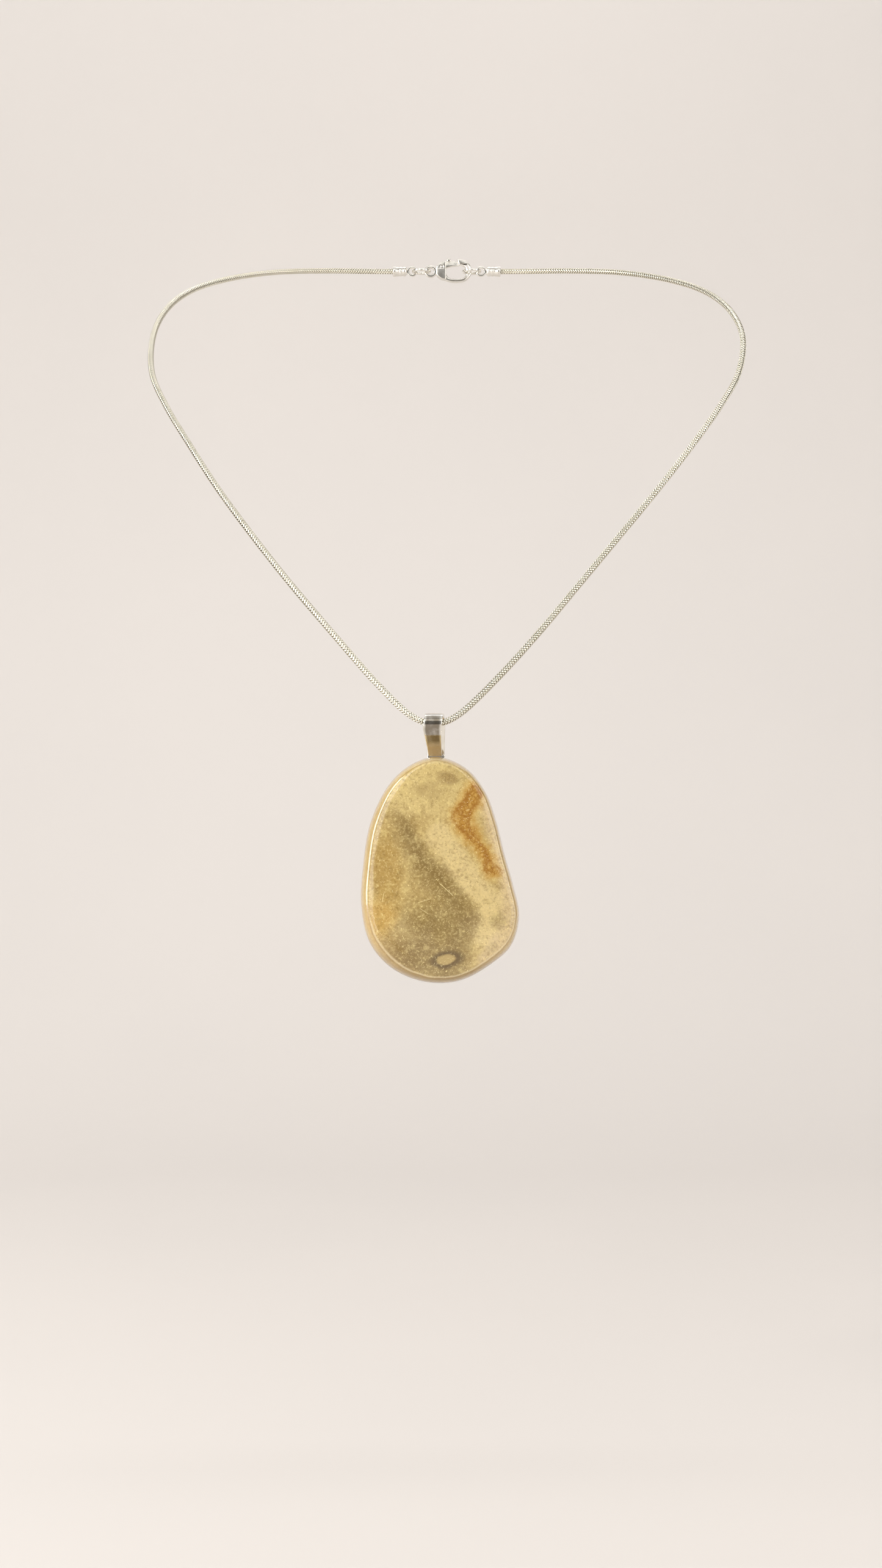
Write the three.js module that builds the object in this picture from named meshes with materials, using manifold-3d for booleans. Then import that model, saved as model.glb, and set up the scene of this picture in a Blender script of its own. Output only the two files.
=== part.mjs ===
import * as THREE from 'three';
import { mergeVertices } from 'three/addons/utils/BufferGeometryUtils.js';
import Module from 'manifold-3d';

// Pendant necklace, worn: mm, +Z up, the wearer faces -Y. The origin is the middle of the neck,
// 17 mm above the level where the chain crosses the shoulders.

const wasm = await Module();
wasm.setup();

// ---- driving dimensions ----
const HANG = new THREE.Vector3(-2.9, -52, -108); // chain's centre inside the bail
const CHAIN_D = 1.4;

const STONE_BACK_Y = 2.94;     // flat back, behind the hanging axis
const STONE_DOME = 0.5;        // rise of the polished face inside its edge
const FILM_T = 0.12;           // glue layer

const STRAP_T = 0.7;           // bail strip
const LOOP_R = 1.8;            // loop's mean radius round the chain

const BACK_X = 0.39;           // strip's middle at the back, at the loop's front and at the tail:
const FRONT_X = -0.42;         // the loop is bent a little askew
const TAIL_END_X = 0.24;

const RING_WIRE = 0.8;
const RING_R = 2.1;            // mean radius: 5 mm outside
const EYE_X = 8.78;            // end-cap eye centres, left and right of the nape
const NAPE = new THREE.Vector3(0, 43.6, 10);
const CAP_R = 1.25;
const CAP_BORE_R = 0.98;
const CAP_L = 3.6;
const CAP_FLOOR = 0.6;
const TAIL_X = -4.05;          // centre of the clasp's tail eye
const PIVOT = [2.9, 1.0];      // lever pivot, from the tail eye (along X, along Z)
const PIN_R = 0.3;

// ---- materials ----
const mat = (color, roughness, metalness) =>
  new THREE.MeshStandardMaterial({ color, roughness, metalness });
const SILVER = () => mat(0xc9c5bd, 0.22, 1.0);

const group = new THREE.Group();
group.name = 'pendant_necklace';
function add(name, geometry, material) {
  const mesh = new THREE.Mesh(geometry, material);
  mesh.name = name;
  group.add(mesh);
  return mesh;
}

// ---- solid helpers ----
function toManifold(geometry) {
  const g = geometry.clone();
  g.deleteAttribute('normal');
  g.deleteAttribute('uv');
  const m = mergeVertices(g, 1e-4);
  return new wasm.Manifold(new wasm.Mesh({
    numProp: 3,
    vertProperties: new Float32Array(m.attributes.position.array),
    triVerts: new Uint32Array(m.index.array),
  }));
}
function fromManifold(solid) {
  const mesh = solid.getMesh();
  const g = new THREE.BufferGeometry();
  g.setAttribute('position', new THREE.BufferAttribute(new Float32Array(mesh.vertProperties), 3));
  g.setIndex(new THREE.BufferAttribute(new Uint32Array(mesh.triVerts), 1));
  g.computeVertexNormals();
  return g;
}
// Closed body through a list of rings with the same number of points, capped at both ends.
function loft(rings) {
  const n = rings[0].length;
  const pos = [];
  const idx = [];
  rings.forEach((r) => r.forEach((p) => pos.push(p[0], p[1], p[2])));
  for (let j = 0; j < rings.length - 1; j++) {
    for (let k = 0; k < n; k++) {
      const a = j * n + k;
      const b = j * n + ((k + 1) % n);
      idx.push(a, b, b + n, a, b + n, a + n);
    }
  }
  const last = (rings.length - 1) * n;
  for (let k = 1; k < n - 1; k++) {
    idx.push(0, k + 1, k);
    idx.push(last, last + k, last + k + 1);
  }
  const g = new THREE.BufferGeometry();
  g.setAttribute('position', new THREE.Float32BufferAttribute(pos, 3));
  g.setIndex(idx);
  g.computeVertexNormals();
  return g;
}
// Shape drawn in X-Z, given depth along Y and centred on Y = 0.
function plateXZ(shape, depth, bevel = 0, segments = 6) {
  const g = new THREE.ExtrudeGeometry(shape, {
    depth: depth - 2 * bevel, bevelEnabled: bevel > 0, bevelThickness: bevel,
    bevelSize: bevel, bevelOffset: -bevel, bevelSegments: 1, curveSegments: segments,
  });
  g.translate(0, 0, -(depth - 2 * bevel) / 2);
  g.rotateX(Math.PI / 2);
  return g;
}
const vec2 = (list) => list.map(([x, z]) => new THREE.Vector2(x, z));
function splineShape(list, count) {
  const curve = new THREE.CatmullRomCurve3(
    list.map(([x, z]) => new THREE.Vector3(x, z, 0)), true, 'centripetal');
  const pts = curve.getSpacedPoints(count).slice(0, count).map((p) => new THREE.Vector2(p.x, p.y));
  return new THREE.Shape(pts);
}
function cylinderY(r, length, segments = 20) {
  return new THREE.CylinderGeometry(r, r, length, segments);
}

// ---- stone ----
// Outline seen from the front, about the hanging axis, clockwise from the top.
const STONE_OUTLINE = [
  [0.6, -7.1], [6.6, -9.3], [10.9, -14.4], [13.3, -20.8], [15.0, -27.6], [16.9, -34.4],
  [18.2, -41.0], [16.6, -47.2], [12.2, -51.4], [5.6, -54.9], [-1.4, -55.3], [-8.6, -52.6],
  [-13.6, -47.2], [-15.6, -39.2], [-15.2, -30.0], [-13.6, -21.0], [-9.6, -12.9], [-4.6, -8.5],
];
const STONE_N = 56;
const FACE_CENTRE = [1.6, -32];
// From the back to the face: share of the band's width in from the outline, height above the back.
const STONE_PROFILE = [
  [0.35, 0], [0.06, 0.35], [0, 1.1], [0.06, 2.4], [0.26, 3.7], [0.52, 4.75], [0.8, 5.4],
  [1.1, 5.7], [1.7, 5.88], [2.8, 6.03],
];
function stoneGeometry() {
  const curve = new THREE.CatmullRomCurve3(
    STONE_OUTLINE.map(([x, z]) => new THREE.Vector3(x, 0, z)), true, 'centripetal');
  const base = curve.getSpacedPoints(STONE_N).slice(0, STONE_N);
  const normals = base.map((p, k) => {
    const a = base[(k + STONE_N - 2) % STONE_N];
    const b = base[(k + 2) % STONE_N];
    return new THREE.Vector2(-(b.z - a.z), b.x - a.x).normalize();
  });
  const ring = (depth, inset) => base.map((p, k) => {
    const n = normals[k];
    const d = typeof inset === 'number' ? inset : inset(n);
    return [p.x - n.x * d, STONE_BACK_Y - depth, p.z - n.y * d];
  });
  // The sloping band round the polished face is widest at the lower left.
  const band = (n) => {
    const lowLeft = Math.max(0, -(n.x + n.y) / Math.SQRT2) ** 3;
    const lowRight = Math.max(0, (n.x - n.y) / Math.SQRT2) ** 4;
    return 1.0 - 0.25 * n.x - 0.1 * n.y + 0.55 * lowLeft + 0.45 * lowRight;
  };
  const rings = STONE_PROFILE.map(([k, height]) => ring(height, (n) => k * band(n)));
  const edge = rings[rings.length - 1];
  const edgeDepth = STONE_PROFILE[STONE_PROFILE.length - 1][1];
  for (const f of [0.86, 0.66, 0.4]) {
    rings.push(edge.map((p) => [
      FACE_CENTRE[0] + (p[0] - FACE_CENTRE[0]) * f,
      STONE_BACK_Y - edgeDepth - STONE_DOME * (1 - f * f),
      FACE_CENTRE[1] + (p[2] - FACE_CENTRE[1]) * f,
    ]));
  }
  const n = STONE_N;
  const pos = [];
  const idx = [];
  rings.forEach((r) => r.forEach((p) => pos.push(...p)));
  for (let j = 0; j < rings.length - 1; j++) {
    for (let k = 0; k < n; k++) {
      const a = j * n + k;
      const b = j * n + ((k + 1) % n);
      idx.push(a, b + n, b, a, a + n, b + n);
    }
  }
  // front: a fan to the top of the dome
  const last = (rings.length - 1) * n;
  const tip = pos.length / 3;
  pos.push(FACE_CENTRE[0], STONE_BACK_Y - edgeDepth - STONE_DOME, FACE_CENTRE[1]);
  for (let k = 0; k < n; k++) idx.push(last + k, tip, last + ((k + 1) % n));
  // back: a flat resting square below the pad, and the rest of the back round it
  const square = [[-6.4, -30], [9.6, -30], [9.6, -46], [-6.4, -46]];
  const s = pos.length / 3;
  square.forEach(([x, z]) => pos.push(x, STONE_BACK_Y, z));
  const rim = rings[0].map((p) => new THREE.Vector2(p[0], p[2]));
  const tris = THREE.ShapeUtils.triangulateShape(rim, [vec2(square)]);
  const all = rim.map((_, k) => k).concat([s, s + 1, s + 2, s + 3]);
  const onBack = [...tris.map((t) => t.map((i) => all[i])), [s, s + 1, s + 2], [s, s + 2, s + 3]];
  onBack.forEach(([a, b, c]) => {
    const P = (i) => [pos[3 * i], pos[3 * i + 2]];
    const [pa, pb, pc] = [P(a), P(b), P(c)];
    const area = (pb[0] - pa[0]) * (pc[1] - pa[1]) - (pb[1] - pa[1]) * (pc[0] - pa[0]);
    if (area > 0) idx.push(a, c, b); else idx.push(a, b, c);
  });
  const g = new THREE.BufferGeometry();
  g.setAttribute('position', new THREE.Float32BufferAttribute(pos, 3));
  g.setIndex(idx);
  g.computeVertexNormals();
  return g;
}
add('stone', stoneGeometry().translate(...HANG), mat(0xb8a468, 0.18, 0.0));

// ---- glue-on bail: one strip, pad at the back, loop over the chain, tail in front ----
const padY = STONE_BACK_Y + FILM_T + STRAP_T / 2;
// Point where a line from (y, z) touches the loop circle, on the back (+1) or front (-1).
function tangent(y, z, side) {
  const d = Math.hypot(y, z);
  const a = Math.atan2(z, y) + side * Math.acos(LOOP_R / d);
  return [LOOP_R * Math.cos(a), LOOP_R * Math.sin(a), a];
}
function bailPath() {
  const bend = [padY, -6.75];
  const tail = [padY - STRAP_T - 0.12, -6.72];
  const [by, bz, ba] = tangent(bend[0], bend[1], 1);
  const [ty, tz, ta0] = tangent(tail[0], tail[1], -1);
  const ta = ta0 < 0 ? ta0 + 2 * Math.PI : ta0;
  // y, z, half width, x of the strip's middle
  const path = [
    [padY, -21.2, 1.5], [padY, -20.6, 2.5], [padY, -19.4, 3.2], [padY, -17.4, 3.5],
    [padY, -13.5, 3.4], [padY, -10.6, 2.8], [padY, -8.4, 2.05], [padY, -7.1, 1.92],
    [bend[0] - 0.06, bend[1] + 0.3, 1.9], [(bend[0] + by) / 2, (bend[1] + bz) / 2, 1.93],
    [by, bz, 1.95],
  ].map((p) => [...p, BACK_X]);
  const steps = 10;
  for (let i = 1; i < steps; i++) {
    const a = ba + ((ta - ba) * i) / steps;
    const x = BACK_X + (FRONT_X - BACK_X) * (i / steps);
    path.push([LOOP_R * Math.cos(a), LOOP_R * Math.sin(a), 1.95, x]);
  }
  for (const [f, w] of [[0, 1.95], [0.35, 1.78], [0.7, 1.58], [1, 1.43]]) {
    path.push([ty + (tail[0] - ty) * f, tz + (tail[1] - tz) * f, w,
      FRONT_X + (TAIL_END_X - FRONT_X) * f]);
  }
  return path;
}
function bailGeometry() {
  const path = bailPath();
  const h = STRAP_T / 2;
  const c = 0.14; // eased edges
  const rings = path.map(([y, z, w, x0], i) => {
    const p0 = path[Math.max(i - 1, 0)];
    const p1 = path[Math.min(i + 1, path.length - 1)];
    const len = Math.hypot(p1[0] - p0[0], p1[1] - p0[1]);
    const ny = -(p1[1] - p0[1]) / len;
    const nz = (p1[0] - p0[0]) / len;
    const corner = (x, s) => [x0 + x, y + ny * s, z + nz * s];
    return [
      corner(-w + c, -h), corner(w - c, -h), corner(w, -h + c), corner(w, h - c),
      corner(w - c, h), corner(-w + c, h), corner(-w, h - c), corner(-w, -h + c),
    ];
  });
  return loft(rings.map((r) => r.reverse()));
}
const bail = bailGeometry();
add('bail', bail.translate(...HANG), SILVER());

function filmGeometry() {
  const half = [[1.2, -20.8], [2.6, -19.9], [3.2, -17.6], [3.1, -13.5], [2.6, -10.6], [1.9, -8.4]];
  const pts = vec2([...half, ...half.map(([x, z]) => [-x, z]).reverse()]);
  return plateXZ(new THREE.Shape(pts), FILM_T).translate(BACK_X, STONE_BACK_Y + FILM_T / 2, 0);
}
add('adhesive_film', filmGeometry().translate(...HANG), mat(0xcfc9b4, 0.35, 0.0));

// ---- chain: one flexible run from end cap to end cap, hanging in a V through the bail ----
const CHAIN_END = EYE_X + 1.35 + CAP_FLOOR + 0.3;
const CHAIN_ROUTE = [
  [-CHAIN_END, 43.6, 10], [-14.2, 43.6, 10], [-19, 43.1, 9.9], [-31, 39.4, 9.2],
  [-43.5, 32.4, 7.2], [-54.5, 22.6, 3.2], [-62.2, 11.9, -2.1], [-66.7, 1.6, -8.9],
  [-68.5, -7.4, -17], [-67.6, -15.8, -26.8], [-63.7, -22.6, -35.2], [-58.3, -28.6, -44],
  [-50.6, -35.6, -55.8], [-42.2, -41.5, -67.2], [-33.5, -46, -78.2], [-24.4, -49.3, -88.9],
  [-15.2, -51.4, -99.4], [-8.6, -52, -105.8], [-5.4, -52, -107.6], [-2.9, -52, -108],
  [-0.4, -52, -107.6], [2.8, -52, -105.8], [9.6, -51.4, -99.4], [19.2, -49.3, -88.9],
  [28.1, -46, -78.2], [37.2, -41.5, -67.2], [46.5, -35.6, -55.8], [55.7, -28.4, -43.9],
  [62.4, -22, -34.4], [66.8, -15.4, -26.6], [68.8, -7.4, -17], [67.1, 1.6, -8.9],
  [62.4, 11.9, -2.1], [54.6, 22.6, 3.2], [43.5, 32.4, 7.2], [31, 39.4, 9.2], [19, 43.1, 9.9],
  [14.2, 43.6, 10], [CHAIN_END, 43.6, 10],
];
const route = new THREE.CatmullRomCurve3(
  CHAIN_ROUTE.map((p) => new THREE.Vector3(...p)), false, 'centripetal');
const cordSection = new THREE.Shape(Array.from({ length: 8 }, (_, k) => {
  const a = (k * Math.PI) / 4;
  return new THREE.Vector2((CHAIN_D / 2) * Math.cos(a), (CHAIN_D / 2) * Math.sin(a));
}));
// Steps are closer together at the bail and at the caps than along the shoulders.
class PacedCurve extends THREE.Curve {
  getPoint(t, target) {
    return route.getPointAt(t - (0.45 * Math.sin(4 * Math.PI * t)) / (4 * Math.PI), target);
  }
  getPointAt(t, target) { return this.getPoint(t, target); }
  getTangentAt(t, target) { return this.getTangent(t, target); }
}
add('snake_chain', new THREE.ExtrudeGeometry(cordSection,
  { steps: 88, extrudePath: new PacedCurve(), bevelEnabled: false }), mat(0xbdb8ad, 0.3, 1.0));

// ---- end caps: a crimped cup with a flat eye, sleeve on the chain's end ----
function endCap(side) {
  const cup = new THREE.LatheGeometry(vec2([
    [0, 0], [0.95, 0], [CAP_R, 0.35], [CAP_R, CAP_L - 0.9], [CAP_R + 0.1, CAP_L - 0.75],
    [CAP_R + 0.1, CAP_L - 0.15], [CAP_R, CAP_L], [CAP_BORE_R, CAP_L], [CAP_BORE_R, CAP_FLOOR],
    [0, CAP_FLOOR],
  ]), 20).rotateZ(-Math.PI / 2).translate(1.35, 0, 0);
  const eye = new THREE.Shape();
  eye.absarc(0, 0, 1.35, 0, Math.PI * 2);
  const neck = new THREE.BoxGeometry(0.8, 0.7, 1.4).translate(1.3, 0, 0);
  let solid = toManifold(cup).add(toManifold(plateXZ(eye, 0.7, 0, 14))).add(toManifold(neck));
  solid = solid.subtract(toManifold(cylinderY(0.75, 2, 24)));
  const g = fromManifold(solid);
  if (side < 0) g.rotateZ(Math.PI);
  return g.translate(NAPE.x + side * EYE_X, NAPE.y, NAPE.z);
}
add('left_end_cap', endCap(-1), SILVER());
add('right_end_cap', endCap(1), SILVER());

// ---- jump rings, lying flat; their wires bear on the eyes ----
const EYE_BEAR = 0.25;
function jumpRing(x) {
  return new THREE.TorusGeometry(RING_R, RING_WIRE / 2, 10, 32).translate(NAPE.x + x, NAPE.y, NAPE.z);
}
const LEFT_RING_X = -EYE_X + EYE_BEAR + RING_R;
const RIGHT_RING_X = EYE_X - EYE_BEAR - RING_R;
add('left_jump_ring', jumpRing(LEFT_RING_X), SILVER());
add('right_jump_ring', jumpRing(RIGHT_RING_X), SILVER());

// ---- lobster clasp, drawn from its tail eye: x along the necklace, z up ----
const CLASP_OUTLINE = [
  [1.2, -0.8], [2.6, -1.9], [4.6, -2.7], [6.8, -2.95], [8.8, -2.5], [10.05, -1.3], [10.4, 0.1],
  [10.05, 1.5], [8.9, 2.6], [7.1, 3.0], [4.8, 2.75], [2.8, 2.3], [1.2, 0.9],
];
function claspBody() {
  const outline = splineShape(CLASP_OUTLINE, 40);
  const hole = new THREE.Path();
  hole.absarc(7.43, -0.2, 1.72, -Math.PI / 2, Math.PI / 2);
  hole.absarc(5.6, -0.2, 1.72, Math.PI / 2, Math.PI * 1.5);
  outline.holes.push(hole);
  const bow = toManifold(plateXZ(outline, 1.4, 0.32, 10));
  const heel = toManifold(plateXZ(new THREE.Shape(vec2([
    [1.5, -1.2], [2.7, -2.05], [3.9, -2.2], [3.9, 2.45], [2.8, 2.25], [1.5, 1.2],
  ])), 2.4, 0.3));
  const tail = new THREE.Shape();
  tail.absarc(0, 0, 1.6, 0, Math.PI * 2);
  let solid = bow.add(heel).add(toManifold(plateXZ(tail, 0.9, 0.12, 16)));
  solid = solid.add(toManifold(new THREE.BoxGeometry(1.4, 0.9, 1.6).translate(1.4, 0, 0)));
  // gate between the heel and the hook's slanted tip, slot for the lever, pin and eye holes
  const gate = plateXZ(new THREE.Shape(vec2([[3.7, 0.4], [7.35, 0.9], [6.55, 3.4], [3.7, 3.4]])), 4);
  const slot = new THREE.BoxGeometry(2.9, 1.1, 4).translate(3.45, 0, 1.7);
  return solid.subtract(toManifold(gate)).subtract(toManifold(slot))
    .subtract(toManifold(cylinderY(0.8, 4, 24)))
    .subtract(toManifold(cylinderY(PIN_R + 0.02, 4).translate(PIVOT[0], 0, PIVOT[1])));
}
function claspLever() {
  const arm = plateXZ(new THREE.Shape(vec2([
    [2.35, 0.5], [2.9, 0.28], [3.6, 0.5], [4.4, 0.95], [5.6, 1.2], [7.12, 1.3], [6.78, 2.4],
    [5.4, 2.62], [4.3, 2.55], [3.3, 2.1], [2.5, 1.7], [2.2, 1.1],
  ])), 0.96, 0.1);
  const nub = cylinderY(0.5, 1.5, 12).translate(4.6, 0, 2.75);
  return toManifold(arm).add(toManifold(nub))
    .subtract(toManifold(cylinderY(PIN_R + 0.05, 4).translate(PIVOT[0], 0, PIVOT[1])));
}
const atClasp = (g) => g.translate(NAPE.x + TAIL_X, NAPE.y, NAPE.z);
add('clasp_body', atClasp(fromManifold(claspBody())), SILVER());
add('clasp_lever', atClasp(fromManifold(claspLever())), SILVER());
add('clasp_pivot_pin', atClasp(cylinderY(PIN_R, 2.4).translate(PIVOT[0], 0, PIVOT[1])),
  mat(0x9c9a95, 0.35, 1.0));
// bent leaf on the slot's floor, drawn pressed flat enough to stay clear of the lever
add('clasp_spring', atClasp(plateXZ(new THREE.Shape(vec2([
  [2.1, -0.3], [3.8, -0.3], [3.8, -0.16], [3.3, -0.1], [2.8, 0.04], [2.3, -0.12], [2.1, -0.16],
])), 0.6)), mat(0x8f8d88, 0.4, 1.0));

export default group;
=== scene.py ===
import math

import bmesh
import bpy
import numpy as np
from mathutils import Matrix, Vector


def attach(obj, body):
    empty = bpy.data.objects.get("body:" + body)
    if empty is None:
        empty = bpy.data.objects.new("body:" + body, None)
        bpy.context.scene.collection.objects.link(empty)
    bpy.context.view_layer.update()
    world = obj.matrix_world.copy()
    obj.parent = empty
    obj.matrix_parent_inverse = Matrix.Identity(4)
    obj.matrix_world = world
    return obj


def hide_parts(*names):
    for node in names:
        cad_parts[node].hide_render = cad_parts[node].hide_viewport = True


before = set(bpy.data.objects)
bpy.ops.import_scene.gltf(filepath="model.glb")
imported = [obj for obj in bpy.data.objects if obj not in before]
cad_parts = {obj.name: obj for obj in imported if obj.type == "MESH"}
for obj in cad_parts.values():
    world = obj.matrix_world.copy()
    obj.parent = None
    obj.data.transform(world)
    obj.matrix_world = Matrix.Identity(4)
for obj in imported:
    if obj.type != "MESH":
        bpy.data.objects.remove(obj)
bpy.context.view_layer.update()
scene = bpy.context.scene
MM = 0.001

# ---------------------------------------------------------------- sizes, in mm, as in the CAD
HANG = np.array([-2.9, -52.0, -108.0])      # chain's centre inside the bail
STONE_BACK_Y = 2.94
FILM_T = 0.12
STRAP_T = 0.7
LOOP_R = 1.8
EYE_X = 8.78
EYE_R = 1.35
EYE_HOLE_R = 0.75
NAPE = np.array([0.0, 43.6, 10.0])
RING_R = 2.1
RING_WIRE = 0.8
EYE_BEAR = 0.25
TAIL_X = -4.05
PIVOT = (2.9, 1.0)
CHAIN_END = EYE_X + EYE_R + 0.6 + 0.3       # inside the cap, clear of its floor

# ---------------------------------------------------------------- camera
CAMERA_AT = np.array([-1.43, -532.0, -120.9])
VIEW_HEIGHT = 334.0          # mm seen at the pendant's distance
VIEW_DISTANCE = 480.0
cam_data = bpy.data.cameras.new("camera")
cam_data.sensor_width = 36.0
cam_data.lens = 36.0 * VIEW_DISTANCE / VIEW_HEIGHT
cam_data.clip_start = 0.01
cam_data.clip_end = 20.0
camera = bpy.data.objects.new("camera", cam_data)
camera.location = Vector(CAMERA_AT * MM)
camera.rotation_euler = (math.radians(90), 0, 0)
scene.collection.objects.link(camera)
scene.camera = camera
scene.view_settings.view_transform = "Standard"


# ---------------------------------------------------------------- curves
def catmull(points, count, closed=False):
    """count evenly spaced points on a centripetal Catmull-Rom curve (count + 1 when open)."""
    P = np.array(points, float)
    n = len(P)
    fine = []
    for i in range(n if closed else n - 1):
        p1, p2 = P[i], P[(i + 1) % n]
        p0 = P[i - 1] if (closed or i > 0) else 2 * P[0] - P[1]
        p3 = P[(i + 2) % n] if (closed or i + 2 < n) else 2 * P[-1] - P[-2]
        d0, d1, d2 = (max(np.linalg.norm(b - a) ** 0.5, 1e-6)
                      for a, b in ((p0, p1), (p1, p2), (p2, p3)))
        t1 = ((p1 - p0) / d0 - (p2 - p0) / (d0 + d1) + (p2 - p1) / d1) * d1
        t2 = ((p2 - p1) / d1 - (p3 - p1) / (d1 + d2) + (p3 - p2) / d2) * d1
        for k in range(60):
            t = k / 60
            fine.append(p1 + t1 * t + (-3 * p1 + 3 * p2 - 2 * t1 - t2) * t ** 2
                        + (2 * p1 - 2 * p2 + t1 + t2) * t ** 3)
    fine.append(P[0] if closed else P[-1])
    fine = np.array(fine)
    s = np.concatenate([[0], np.cumsum(np.linalg.norm(np.diff(fine, axis=0), axis=1))])
    want = np.linspace(0, s[-1], count + 1)
    out = np.stack([np.interp(want, s, fine[:, a]) for a in range(fine.shape[1])], axis=1)
    return (out[:-1] if closed else out), s[-1]


def frames_along(path):
    """Side and up at each point of a path, carried along without twist."""
    t = np.gradient(path, axis=0)
    t /= np.linalg.norm(t, axis=1)[:, None]
    side = np.cross(t[0], [0, 0, 1.0])
    side /= np.linalg.norm(side)
    sides = []
    for v in t:
        side = side - v * np.dot(side, v)
        side /= np.linalg.norm(side)
        sides.append(side.copy())
    sides = np.array(sides)
    return sides, np.cross(t, sides)


# ---------------------------------------------------------------- mesh helpers
def make_object(name, verts, faces):
    """Smooth-shaded object from points in mm."""
    mesh = bpy.data.meshes.new(name)
    mesh.from_pydata([tuple(v) for v in np.asarray(verts) * MM], [], faces)
    mesh.validate()
    mesh.update()
    mesh.shade_smooth()
    obj = bpy.data.objects.new(name, mesh)
    scene.collection.objects.link(obj)
    return obj


def loft_faces(rings, n, start=0):
    """Quads between rings of n points each, capped at both ends."""
    faces = []
    for j in range(rings - 1):
        a0, b0 = start + j * n, start + (j + 1) * n
        for k in range(n):
            k2 = (k + 1) % n
            faces.append((a0 + k, a0 + k2, b0 + k2, b0 + k))
    faces.append(tuple(start + k for k in range(n))[::-1])
    faces.append(tuple(start + (rings - 1) * n + k for k in range(n)))
    return faces


def attribute(obj, name, values):
    """One number per point, for the material to read."""
    att = obj.data.attributes.new(name, "FLOAT", "POINT")
    att.data.foreach_set("value", np.asarray(values, dtype=np.float32))


def fix_normals(obj):
    """Turn every face outwards."""
    bm = bmesh.new()
    bm.from_mesh(obj.data)
    bmesh.ops.recalc_face_normals(bm, faces=bm.faces)
    bm.to_mesh(obj.data)
    bm.free()


def circle_loop(cx, cz, r, count):
    return [(cx + r * math.cos(a), cz + r * math.sin(a))
            for a in np.linspace(0, 2 * math.pi, count + 1)[:-1]]


def plate(name, loops, depth, bevel, y=0.0, resolution=3):
    """Flat plate in X-Z, depth thick along Y, with rounded edges; later loops are holes."""
    data = bpy.data.curves.new(name, "CURVE")
    data.dimensions = "2D"
    data.fill_mode = "BOTH"
    for loop in loops:
        spline = data.splines.new("POLY")
        spline.points.add(len(loop) - 1)
        for p, (x, z) in zip(spline.points, loop):
            p.co = (x, z, 0, 1)
        spline.use_cyclic_u = True
    data.extrude = depth / 2 - bevel
    data.bevel_depth = bevel
    data.offset = -bevel
    data.bevel_resolution = resolution
    tmp = bpy.data.objects.new(name, data)
    scene.collection.objects.link(tmp)
    dg = bpy.context.evaluated_depsgraph_get()
    mesh = bpy.data.meshes.new_from_object(tmp.evaluated_get(dg))
    co = np.empty(len(mesh.vertices) * 3)
    mesh.vertices.foreach_get("co", co)
    co = co.reshape(-1, 3)
    faces = [tuple(p.vertices) for p in mesh.polygons]
    bpy.data.objects.remove(tmp)
    bpy.data.curves.remove(data)
    bpy.data.meshes.remove(mesh)
    return np.stack([co[:, 0], y - co[:, 2], co[:, 1]], axis=1), faces


def merge(parts):
    """Join parts, each a pair of points and faces, into one such pair."""
    verts, faces = [], []
    for v, f in parts:
        base = sum(len(x) for x in verts)
        verts.append(np.asarray(v))
        faces += [tuple(i + base for i in q) for q in f]
    return np.concatenate(verts), faces


def auto_smooth(obj, angle):
    """Weld the seams, and keep edges sharper than angle, in degrees, crisp."""
    bm = bmesh.new()
    bm.from_mesh(obj.data)
    bmesh.ops.remove_doubles(bm, verts=bm.verts, dist=1e-7)
    bmesh.ops.recalc_face_normals(bm, faces=bm.faces)
    for e in bm.edges:
        e.smooth = len(e.link_faces) != 2 or e.calc_face_angle(0) < math.radians(angle)
    for f in bm.faces:
        f.smooth = True
    bm.to_mesh(obj.data)
    bm.free()


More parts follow.
